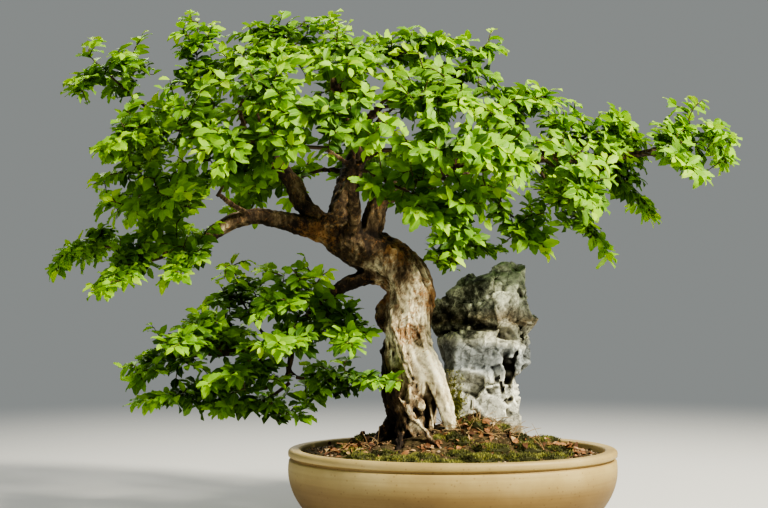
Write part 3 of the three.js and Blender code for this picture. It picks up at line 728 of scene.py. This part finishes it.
# The soil
# Gritty brown earth that fills the pot and is mounded round the roots. Its own surface is
# lumpy, and loose grains of grit and baked clay lie on it.
SOIL_GRAIN = 2.6 * MM
SOIL_EDGE = 84 * MM
CRUMBLY_FROM = SOIL_EDGE - 12 * MM
OPEN_SOIL_FROM = SOIL_EDGE - 14 * MM
SOIL_LENGTH = POT_HALF_LENGTH - WALL - 2 * MM
SOIL_REACH = (SOIL_LENGTH, SOIL_LENGTH * POT_SQUASH)
GRAINS = 2000
GRAIN_SHAPES = 4
DOWN = Vector((0, 0, -1))


def soil_height(co, normal):
    """Crumbs on the open surface and a low bank of earth against the pale root and the stone,
    and nothing where the soil meets the pot."""
    if normal.z < 0.3 or co.z < CRUMBLY_FROM:
        return 0
    p = co * 1000
    bank = math.exp(-(((p.x - 28) / 38) ** 2) - ((p.y + 32) / 16) ** 2)
    crumbs = ridged(grained(p, 6, 6)) - 0.7
    return (12 * bank + (3.2 + 2 * bank) * crumbs + 0.8 * noise.noise(p / 2.2)) * MM


def skin_of(obj):
    """An object's surface, for finding how near it is."""
    return BVHTree.FromPolygons(
        [corner.co for corner in obj.data.vertices], [face.vertices for face in obj.data.polygons]
    )


bm = fine_copy("soil", SOIL_GRAIN)
swell(bm, soil_height)
ground = BVHTree.FromBMesh(bm)
trunk_skin = skin_of(tree)
stone_skin = skin_of(stone)


def tinted(name, roughness, stops, scale=120):
    """A material whose colour follows each small piece's own tint, with some mottling."""
    material, shader, add = new_material(name, roughness, 0.4)
    tint = (add("Attribute", attribute_name="tint"), "Fac")
    cloud = add("TexNoise", (add("TexCoord"), "Object"), Scale=scale, Detail=5, Roughness=0.65)
    spread = add("MapRange", cloud, To_Min=-0.16, To_Max=0.16)
    tone = ramp_of(add, add("Math", tint, spread, operation="ADD"), *stops)
    bump = add("Bump", Strength=0.4, Distance=1 * MM, Height=cloud)
    fill(shader, {"Base Color": tone, "Normal": bump})
    return material


def gritty_earth():
    """Dark brown earth with paler crumbs, near black in places, with painted shade in the creases between
    crumbs and painted highlight on their tops.
    """
    material, shader, add = new_material("gritty_earth", 0.95, 0.2)
    place = (add("TexCoord"), "Object")
    tone = ramp_of(
        add,
        add("TexNoise", place, Scale=130, Detail=9, Roughness=0.75),
        (0.32, (0.018, 0.013, 0.007)),
        (0.50, (0.062, 0.045, 0.020)),
        (0.64, (0.15, 0.11, 0.052)),
        (0.80, (0.30, 0.22, 0.12)),
    )
    # Painted shade in the creases between crumbs and painted highlight on their tops.
    bend = (add("NewGeometry"), "Pointiness")
    edge = ramp_of(add, bend, (0.42, (0.3, 0.3, 0.3)), (0.5, (1, 1, 1)), (0.6, (1.5, 1.45, 1.4)))
    fine = add("TexNoise", place, Scale=520, Detail=6, Roughness=0.7)
    bump = add("Bump", Strength=0.9, Distance=1.6 * MM, Height=fine)
    fill(shader, {"Base Color": layer(add, tone, edge), "Normal": bump})
    return material


soil = own_object("soil_surface", bm, gritty_earth())
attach(soil, "root")
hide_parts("soil")


def on_ground(x, y, clearance=1.5 * MM, steepest=0.35):
    """The place and normal of the open soil at x, y, or None off it or under wood or stone."""
    if (x / SOIL_REACH[0]) ** 2 + (y / SOIL_REACH[1]) ** 2 > 1:
        return None
    place, normal, _, _ = ground.ray_cast(Vector((x, y, 200 * MM)), DOWN)
    if place is None or normal.z < steepest or place.z < OPEN_SOIL_FROM:
        return None
    if trunk_skin.find_nearest(place, clearance)[0] or stone_skin.find_nearest(place, clearance)[0]:
        return None
    return place, normal


def stamped(name, patterns, places, material, smooth=True):
    """One object of many small copies. A pattern is (corners, faces, corner map or None), and
    a place is (which pattern, 3x3 of axes times size as columns, position, tint)."""
    corners, faces, tints, maps = [], [], [], []
    start = 0
    for which, axes, position, tint in places:
        points, shape, chart = patterns[which]
        corners.append(points @ axes.T + position)
        faces.extend([[start + k for k in face] for face in shape])
        tints.extend([tint] * len(points))
        if chart is not None:
            maps.append(chart)
        start += len(points)
    mesh = bpy.data.meshes.new(name)
    mesh.from_pydata(np.concatenate(corners).tolist(), [], faces)
    mesh.attributes.new("tint", "FLOAT", "POINT").data.foreach_set("value", tints)
    if maps:
        leaf_map = mesh.uv_layers.new(name="leaf_map")
        leaf_map.uv.foreach_set("vector", np.concatenate(maps).ravel())
    return placed(name, mesh, [material], smooth)


def pattern_of(bm, chart=None):
    """A bmesh as the corners, faces and map that stamped() repeats."""
    bm.verts.index_update()
    points = np.array([corner.co for corner in bm.verts])
    faces = [[corner.index for corner in face.verts] for face in bm.faces]
    if chart is not None:
        chart = np.array([chart[index] for face in faces for index in face])
    bm.free()
    return points, faces, chart


def axes_on(normal, heading, size):
    """Axes with x near the heading and z along the normal, times a size or three sizes."""
    z = np.array(normal) / np.linalg.norm(normal)
    y = np.cross(z, heading)
    y = y / np.linalg.norm(y)
    return np.column_stack([np.cross(y, z), y, z]) * size


luck = np.random.default_rng(11)
grain_patterns = []
for _ in range(GRAIN_SHAPES):
    bm = bmesh.new()
    bmesh.ops.create_icosphere(bm, subdivisions=1, radius=1)
    for corner in bm.verts:
        corner.co *= luck.uniform(0.7, 1.15)
    grain_patterns.append(pattern_of(bm))
grains = []
while len(grains) < GRAINS:
    spot = on_ground(luck.uniform(-1, 1) * SOIL_REACH[0], luck.uniform(-1, 1) * SOIL_REACH[1])
    if spot is None:
        continue
    size = MM * (0.55 + 1.9 * luck.random() ** 3)
    heading = luck.normal(size=3)
    axes = axes_on(luck.normal(size=3), heading, size * luck.uniform(0.7, 1.2, 3))
    grains.append((luck.integers(GRAIN_SHAPES), axes, np.array(spot[0]), luck.random()))
grit = tinted(
    "loose_grit",
    0.9,
    [
        (0.0, (0.03, 0.018, 0.01)),
        (0.45, (0.11, 0.065, 0.032)),
        (0.75, (0.26, 0.16, 0.085)),
        (1.0, (0.42, 0.33, 0.22)),
    ],
)
loose_grains = stamped("loose_grains", grain_patterns, grains, grit, smooth=False)
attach(loose_grains, "root")

# The moss
# Small cushions of living moss on the mound and at the foot of the trunk and stone, made of
# thousands of short pointed shoots on low bodies. A strip of it climbs the stone's foot.
# Each cushion's middle, half sizes and height above the soil, in millimetres.
MOSS_CUSHIONS = [
    (-14, -102, 26, 9, 4), (24, -94, 24, 11, 6), (-58, -92, 24, 10, 6), (62, -84, 22, 10, 5),
    (-94, -72, 18, 9, 4), (98, -64, 16, 9, 5), (-34, -78, 15, 8, 4), (4, -72, 13, 7, 4),
    (38, -62, 18, 9, 6), (-104, -44, 12, 8, 4), (76, -50, 15, 9, 7), (8, -51, 9, 6, 5),
    (112, -34, 13, 9, 6), (26, -36, 11, 7, 6), (50, -26, 11, 7, 6), (70, -28, 10, 8, 6),
    (90, -14, 12, 8, 6), (14, -22, 8, 7, 6), (-30, 70, 20, 12, 6), (44, 100, 20, 9, 6),
    (-80, 60, 16, 10, 6), (104, 44, 16, 10, 7), (-96, 10, 11, 9, 6), (-118, -2, 8, 10, 4),
    (-2, -46, 7, 5, 5), (-18, -44, 6, 5, 4), (-74, -60, 12, 7, 4),
]
CLIMBING_SHOOTS = 700
CLIMB_MIDDLE = (3, 6, 139)
CLIMB_SPREAD = (4, 4, 13)
CUSHION_TINT = 0.12

bm = bmesh.new()
for x, y, wide, deep, tall in MOSS_CUSHIONS:
    hit = ground.ray_cast(Vector((x, y, 200)) * MM, DOWN)[0]
    for corner in bmesh.ops.create_icosphere(bm, subdivisions=2, radius=1)["verts"]:
        out = corner.co * (1 + 0.3 * noise.noise(2 * corner.co + Vector((x, y, 0))))
        corner.co = hit + Vector((out.x * wide, out.y * deep, out.z * tall)) * MM
cushion_pattern = pattern_of(bm)
earth_points = np.array([corner.co for corner in soil.data.vertices])
earth_faces = [list(face.vertices) for face in soil.data.polygons]
cushion_faces = [[len(earth_points) + k for k in face] for face in cushion_pattern[1]]
ground = BVHTree.FromPolygons(
    np.concatenate([earth_points, cushion_pattern[0]]).tolist(), earth_faces + cushion_faces
)
bm = bmesh.new()
bmesh.ops.create_cone(bm, cap_ends=False, segments=3, radius1=0.32, radius2=0, depth=1)
bmesh.ops.remove_doubles(bm, verts=bm.verts, dist=1e-4)
bmesh.ops.translate(bm, verts=bm.verts, vec=(0, 0, 0.35))
shoot_pattern = pattern_of(bm)


def moss_axes(normal, rise, width, lengths):
    """Axes of one moss shoot, which leans at random between its ground's normal and upright."""
    upright = np.array(normal) + np.array((0, 0, rise)) + luck.normal(size=3) * 0.35
    return axes_on(upright, luck.normal(size=3), np.array((width, width, luck.uniform(*lengths))) * MM)


shoots = []
luck = np.random.default_rng(5)
for x, y, wide, deep, tall in MOSS_CUSHIONS:
    for _ in range(int(wide * (2.6 * deep + 1.6 * tall))):
        angle, reach = luck.uniform(0, 2 * math.pi), 1.12 * luck.random() ** 0.42
        ragged = 1 + 0.2 * math.sin(3 * angle + x)
        spot = on_ground(
            (x + wide * reach * ragged * math.cos(angle)) * MM,
            (y + deep * reach * ragged * math.sin(angle)) * MM,
            clearance=0.6 * MM,
            steepest=0.05,
        )
        if spot is None:
            continue
        place, normal = spot
        axes = moss_axes(normal, 0.5, 2.1, (2.0, 4.2))
        shade = 0.5 + 0.9 * noise.noise(place / (14 * MM))
        shoots.append((0, axes, np.array(place), shade + luck.uniform(-0.35, 0.35)))
for _ in range(CLIMBING_SHOOTS):
    aim = [middle + luck.normal() * spread for middle, spread in zip(CLIMB_MIDDLE, CLIMB_SPREAD)]
    place, normal, _, _ = stone_skin.find_nearest(Vector(aim) * MM)
    axes = moss_axes(normal, 0.6, 2.4, (3, 6))
    shoots.append((0, axes, np.array(place), luck.uniform(0.45, 1)))
shoots.append((1, np.eye(3), np.zeros(3), CUSHION_TINT))
moss_green = tinted(
    "moss_green",
    0.8,
    [
        (0.0, (0.036, 0.033, 0.010)),
        (0.4, (0.085, 0.095, 0.022)),
        (0.75, (0.20, 0.21, 0.04)),
        (1.0, (0.40, 0.39, 0.09)),
    ],
    scale=60,
)
moss = stamped("moss", [shoot_pattern, cushion_pattern], shoots, moss_green, smooth=False)
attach(moss, "root")

# The leafy sprays
# Every branchlet ends in a spray: a thin twig with about 70 side shoots, each with alternate
# leaves. A Chinese elm's leaf is small, ovate, finely toothed, folded a little at its rib.
LEAF_LENGTH = 16.8 * MM
LEAF_ASPECT = 0.64
LEAF_CELLS = 8
INNER_LEAF_CELLS = 4
INNER_PART = 27 * MM
STALK = 0.10
LEAF_STEP = 4.7 * MM
LEAFY_LENGTH = 26 * MM
OUTER_SHOOTS = 33
INNER_SHOOTS = 36
REACH_OUT = 1.09
FULL_REACH = 65 * MM
SHORTEST_SHOOT = 9 * MM
NEAREST_END = 20 * MM
LEAF_BEYOND_TIP = 0.72 * LEAF_LENGTH
TWIG_RADII = (2.1 * MM, 1.0 * MM)
SHOOT_RADII = (0.8 * MM, 0.35 * MM)
FIRST_SEED = 100
# Each kind of leaf's fold, droop and curl. Those deep in a spray have fewer faces.
LEAF_KINDS = [(0.38, 0.14, 0.03), (0.20, 0.24, -0.04), (0.55, 0.07, 0.05), (0.30, 0.34, 0.02)]
# Which way leaves turn besides out of the crown: up, and a little to the front.
TOWARDS_LIGHT = np.array((0.06, -0.16, 0.34))
# Leaves of the low branch get painted shade below these heights, as if in the crown's shadow. All leaves
# get painted light towards the sunny side of a spray and away from its middle, and painted shade near its
# middle.
SHADED_BELOW = 260 * MM
DARKEST_BELOW = 200 * MM
SUNNY_WITHIN = 30 * MM
PALER_BEYOND = 34 * MM


def leaf_pattern(cells, fold, droop, curl):
    """An elm leaf along +X, one unit long, with teeth that point to its tip."""
    bm = bmesh.new()
    bmesh.ops.create_grid(bm, x_segments=cells, y_segments=2, size=0.5)
    chart = {}
    bm.verts.index_update()
    for corner in bm.verts:
        station = round((corner.co.x + 0.5) * cells)
        side = round(2 * corner.co.y)
        along = max(0.0, (station - 1) / (cells - 1))
        oblique = 0.03 * side * (1 - along)
        half = 0.5 * LEAF_ASPECT * math.sin(math.pi * min(1, max(0, along + oblique)) ** 0.82) ** 0.75
        tooth = station % 2 if 1 < station < cells else 0.5
        half *= 1.06 - 0.16 * (1 - tooth)
        if station <= 1:
            half = 0.018 + 0.02 * station
        if station == cells:
            half = 0.004
        x = -STALK if station == 0 else along + 0.035 * tooth * abs(side)
        bend = -droop * along**2 + curl * math.sin(3.0 * along + 1.2 * side) * 0.5
        lift = fold * half * abs(side)
        chart[corner.index] = (along, 0.5 + 0.5 * side * half / (0.5 * LEAF_ASPECT))
        corner.co = (x, side * half * (1 - 0.25 * fold), bend * (0.35 + abs(side)) * 0.8 + lift)
    return pattern_of(bm, chart)


leaf_patterns = [leaf_pattern(LEAF_CELLS, *kind) for kind in LEAF_KINDS]
leaf_patterns += [leaf_pattern(INNER_LEAF_CELLS, *kind) for kind in LEAF_KINDS]


def elm_leaf():
    """Glossy yellow-green leaf with a pale rib and side veins, that lets light through."""
    material, shader, add = new_material("elm_leaf", 0.46, 0.34)
    tint = (add("Attribute", attribute_name="tint"), "Fac")
    cloud = add("TexNoise", (add("TexCoord"), "Object"), Scale=90, Detail=4)
    spread = add("MapRange", cloud, To_Min=-0.13, To_Max=0.13)
    age = add("Math", tint, spread, operation="ADD")
    green = ramp_of(
        add,
        age,
        (0.0, (0.010, 0.032, 0.005)),
        (0.3, (0.045, 0.125, 0.012)),
        (0.55, (0.18, 0.40, 0.022)),
        (0.8, (0.35, 0.65, 0.024)),
        (1.0, (0.50, 0.75, 0.045)),
    )
    pale = ramp_of(add, age, (0.0, (0.14, 0.26, 0.04)), (1.0, (0.55, 0.72, 0.17)))
    split = add("SeparateXYZ", add("UVMap", uv_map="leaf_map"))
    off_rib = add("Math", (split, "Y"), 0.5, operation="SUBTRACT")
    from_rib = add("Math", off_rib, operation="ABSOLUTE")
    rib = add("MapRange", from_rib, From_Min=0.07, From_Max=0.0)
    slant = add("Math", from_rib, -0.75, (split, "X"), operation="MULTIPLY_ADD")
    wave = add("Math", add("Math", slant, 52, operation="MULTIPLY"), operation="SINE")
    side_veins = add("MapRange", wave, From_Min=0.86, From_Max=1.0, To_Max=0.5)
    veins = add("Math", rib, side_veins, operation="MAXIMUM")
    veined = layer(add, green, pale, add("Math", veins, 0.45, operation="MULTIPLY"), "MIX")
    bump = add("Bump", invert=True, Strength=0.35, Distance=0.6 * MM, Height=veins)
    fill(shader, {"Base Color": veined, "Normal": bump})
    glow = add("BsdfTranslucent", layer(add, veined, (1.35, 1.25, 0.45, 1)))
    thin = add("MixShader", 0.27, shader, glow)
    fill(material.node_tree.nodes["Material Output"], {0: thin})
    return material


leaf_green = elm_leaf()
young_bark = tinted(
    "young_bark",
    0.7,
    [(0.0, (0.06, 0.035, 0.016)), (0.5, (0.13, 0.08, 0.035)), (1.0, (0.17, 0.17, 0.05))],
)

# The tree's rounded form, for which way the leaves face. They face level where it is flat.
CROWN_MIDDLE = np.array((-95, 0, 360)) * MM
CROWN_REACH = np.array((300, 185, 190)) * MM
CROWN_LIFT = 60 * MM
tree_points = KDTree(len(tree.data.vertices))
for corner in tree.data.vertices:
    tree_points.insert(corner.co, corner.index)
tree_points.balance()


def far_apart(points, count, first):
    """Indices of points that lie far from each other, starting with the one given."""
    chosen = [first]
    nearest = np.linalg.norm(points - points[first], axis=1)
    while len(chosen) < count:
        chosen.append(int(np.argmax(nearest)))
        nearest = np.minimum(nearest, np.linalg.norm(points - points[chosen[-1]], axis=1))
    return chosen


def curve_points(start, knee, tip, count):
    """Points along a smooth curve that sets off towards the knee and ends at the tip."""
    t = np.linspace(0, 1, count)[:, None]
    return (1 - t) ** 2 * start + 2 * t * (1 - t) * knee + t**2 * tip


def twig_tubes(name, strands, material):
    """Thin stems as one mesh. A strand is its points and its radius at each end."""
    curve = bpy.data.curves.new(name, "CURVE")
    curve.dimensions = "3D"
    curve.bevel_depth = 1
    curve.bevel_resolution = 0
    curve.use_fill_caps = True
    for points, thick, thin in strands:
        spline = curve.splines.new("POLY")
        spline.points.add(len(points) - 1)
        for point, place, radius in zip(spline.points, points, np.linspace(thick, thin, len(points))):
            point.co = (*place, 1)
            point.radius = radius
    made = bpy.data.objects.new(name, curve)
    scene.collection.objects.link(made)
    mesh = shape_now(made)
    bpy.data.objects.remove(made)
    bpy.data.curves.remove(curve)
    mesh.materials.append(material)
    return mesh


def facing(at):
    """The way out of the crown's rounded form at a place, never downwards."""
    out = (at - CROWN_MIDDLE) / CROWN_REACH**2
    out[2] = (abs(at[2] - CROWN_MIDDLE[2]) + CROWN_LIFT) / CROWN_REACH[2] ** 2
    return out / np.linalg.norm(out)


def shoot_ends(points, middle, seat, luck):
    """Where a spray's shoots end: all over its CAD form, and some deeper inside it."""
    first = int(np.argmax(np.linalg.norm(points - middle, axis=1)))
    ends = [middle + REACH_OUT * (points[k] - middle) for k in far_apart(points, OUTER_SHOOTS, first)]
    for _ in range(INNER_SHOOTS):
        corner = points[luck.integers(len(points))]
        ends.append(middle + luck.uniform(0.4, 0.95) * (corner - middle))
    low = np.array(cad_low) + LEAF_LENGTH
    high = np.array(cad_high) - LEAF_LENGTH
    ends = [middle + (end - middle) * min(1, FULL_REACH / np.linalg.norm(end - middle)) for end in ends]
    ends = [np.clip(end, low, high) for end in ends]
    ends = [end for end in ends if np.linalg.norm(end - seat) > NEAREST_END]
    return sorted(ends, key=lambda end: np.linalg.norm(end - middle))


def forked_shoots(spine, ends, face, luck):
    """Shoots that each leave the nearest wood grown before them and stop short of their end."""
    wood = list(spine[3:])
    shoots = []
    for end in ends:
        start = min(wood, key=lambda at: np.linalg.norm(end - at))
        away = end - start
        reach = max(SHORTEST_SHOOT, np.linalg.norm(away) - LEAF_BEYOND_TIP)
        heading = away / np.linalg.norm(away)
        knee = start + reach * (0.5 * heading + luck.normal(size=3) * 0.09 + 0.07 * face)
        shoot = curve_points(start, knee, start + reach * heading, 7)
        wood.extend(shoot[2:6])
        shoots.append((shoot, reach))
    return shoots


def leaf_tint(foot, middle, face, young, age, luck):
    """From dark to pale green: painted light outside a spray and on its sunny side, painted shade inside
    it and on the low branch, and paler near a shoot's tip.
    """
    # Painted light on a spray's sunny side and away from its middle, painted shade inside it.
    sunny = np.clip(np.dot(foot - middle, face) / SUNNY_WITHIN, -1, 1)
    outer = np.clip(np.linalg.norm(foot - middle) / PALER_BEYOND - 1, -0.7, 0.4)
    tint = 0.55 + age + 0.16 * sunny + 0.27 * outer + 0.13 * young + luck.normal() * 0.09
    # Painted shade on the low branch, as if in the crown's shadow.
    tint -= 0.08 * blend(foot[2], SHADED_BELOW, DARKEST_BELOW)
    return float(np.clip(tint, 0.04, 0.97))


def leaves_of(shoot, reach, middle, face, luck):
    """Alternate leaves on the outer part of a shoot, smaller and paler towards its tip."""
    number = max(3, int(min(reach, LEAFY_LENGTH) / LEAF_STEP))
    bare = max(0.0, 1 - LEAFY_LENGTH / reach)
    turn = luck.choice((-1, 1))
    age = luck.normal() * 0.07
    made = []
    for k in range(number + 1):
        share = bare + (1 - bare) * (k + 0.5) / (number + 0.5)
        at = min(share, 1) * (len(shoot) - 1)
        low = min(int(at), len(shoot) - 2)
        along = shoot[low + 1] - shoot[low]
        foot = shoot[low] + (at - low) * along
        along /= np.linalg.norm(along)
        normal = 0.62 * face + TOWARDS_LIGHT + luck.normal(size=3) * 0.36
        across = np.cross(normal, along)
        across /= np.linalg.norm(across)
        turn = -turn
        spread = luck.uniform(0.65, 1.15) if k < number else luck.uniform(-0.2, 0.2)
        direction = math.cos(spread) * along + turn * math.sin(spread) * across
        direction += luck.normal(size=3) * 0.12
        young = max(0.0, (k + 0.5) / (number + 0.5) - 0.5) * 2
        size = LEAF_LENGTH * luck.uniform(0.8, 1.1) * (1 - 0.32 * young**2)
        tint = leaf_tint(foot, middle, face, young, age, luck)
        kind = int(luck.integers(len(LEAF_KINDS)))
        if np.linalg.norm(foot - middle) < INNER_PART:
            kind += len(LEAF_KINDS)
        made.append((kind, axes_on(normal, direction, size), foot, tint))
    return made


def fine_spray(node, seed):
    """Fills the form of a CAD spray with twigs and leaves, from where its own twig starts."""
    luck = np.random.default_rng(seed)
    bm = bmesh.new()
    bm.from_mesh(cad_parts[node].data)
    bmesh.ops.remove_doubles(bm, verts=bm.verts, dist=1e-6)
    points = np.array([corner.co for corner in bm.verts])
    bm.free()
    to_tree = [tree_points.find(Vector(point))[2] for point in points]
    seat = points[int(np.argmin(to_tree))]
    middle = points.mean(axis=0)
    face = facing(middle)
    run = middle - seat
    spine = curve_points(seat - 0.06 * run, seat + 0.5 * run - 3 * MM * face, middle, 9)
    strands = [(spine, *TWIG_RADII)]
    leaves = []
    for shoot, reach in forked_shoots(spine, shoot_ends(points, middle, seat, luck), face, luck):
        strands.append((shoot, *SHOOT_RADII))
        leaves.extend(leaves_of(shoot, reach, middle, face, luck))
    made = stamped(node + "_leaves", leaf_patterns, leaves, leaf_green)
    bm = bmesh.new()
    bm.from_mesh(made.data)
    leaf_faces = len(bm.faces)
    bm.from_mesh(twig_tubes("twigs", strands, young_bark))
    bm.faces.ensure_lookup_table()
    for twig_face in bm.faces[leaf_faces:]:
        twig_face.material_index = 1
    bm.to_mesh(made.data)
    bm.free()
    made.data.materials.append(young_bark)
    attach(made, "root")
    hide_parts(node)


spray_nodes = sorted(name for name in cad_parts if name.startswith("spray_"))
for number, node in enumerate(spray_nodes):
    fine_spray(node, FIRST_SEED + number)

# The litter
# Fallen leaves, dry and rust-brown, that lie on the soil at both ends of the pot, with straw
# by the trunk and the stone. Each patch's middle, spread and number of pieces, and the straws'
# lengths and arch, in millimetres.
LITTER = [
    (-110, -24, 32, 36, 150), (116, -14, 30, 36, 130), (0, 30, 120, 60, 50), (34, -36, 52, 22, 90),
    (-24, -62, 60, 18, 60),
]
STRAW = [(28, -36, 44, 18, 90), (58, -20, 36, 14, 40), (-84, -30, 20, 14, 14)]
STRAW_LENGTHS = (9, 30)
STRAW_ARCH = (1, 5)
STRAW_RADII = (0.5 * MM, 0.2 * MM)


def strewn(patches):
    """Places and normals on the open soil, scattered over each patch in turn."""
    for x, y, wide, deep, number in patches:
        for _ in range(number):
            spot = on_ground((x + wide * luck.normal() * 0.5) * MM, (y + deep * luck.normal() * 0.5) * MM)
            if spot is not None:
                yield spot


luck = np.random.default_rng(3)
fallen = []
for place, normal in strewn(LITTER):
    tilted = np.array(normal) + luck.normal(size=3) * 0.45
    axes = axes_on(tilted, luck.normal(size=3), LEAF_LENGTH * luck.uniform(0.25, 0.6))
    lifted = np.array(place) + np.array((0, 0, 1 * MM))
    fallen.append((int(luck.integers(len(LEAF_KINDS))), axes, lifted, luck.uniform(0.1, 1)))
dead_leaf = tinted(
    "dead_leaf",
    0.75,
    [
        (0.0, (0.05, 0.022, 0.01)),
        (0.45, (0.17, 0.07, 0.025)),
        (0.8, (0.34, 0.16, 0.06)),
        (1.0, (0.5, 0.36, 0.18)),
    ],
)
litter = stamped("leaf_litter", leaf_patterns, fallen, dead_leaf)
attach(litter, "root")

strands = []
for place, _ in strewn(STRAW):
    foot = np.array(place)
    lie = np.array((luck.normal(), luck.normal() * 0.6, luck.uniform(0, 1) ** 2 * 0.7))
    length = luck.uniform(*STRAW_LENGTHS) * MM
    tip = foot + lie / np.linalg.norm(lie) * length
    knee = (foot + tip) / 2 + np.array((0, 0, luck.uniform(*STRAW_ARCH) * MM))
    sunk = foot - np.array((0, 0, 1 * MM))
    strands.append((curve_points(sunk, knee, tip, 6), *STRAW_RADII))
straw_colour = tinted(
    "dry_straw", 0.7, [(0.0, (0.30, 0.20, 0.09)), (0.6, (0.42, 0.30, 0.15)), (1.0, (0.5, 0.4, 0.2))]
)
bm = bmesh.new()
bm.from_mesh(twig_tubes("straw", strands, straw_colour))
straw = own_object("dry_straw", bm, straw_colour)
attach(straw, "root")
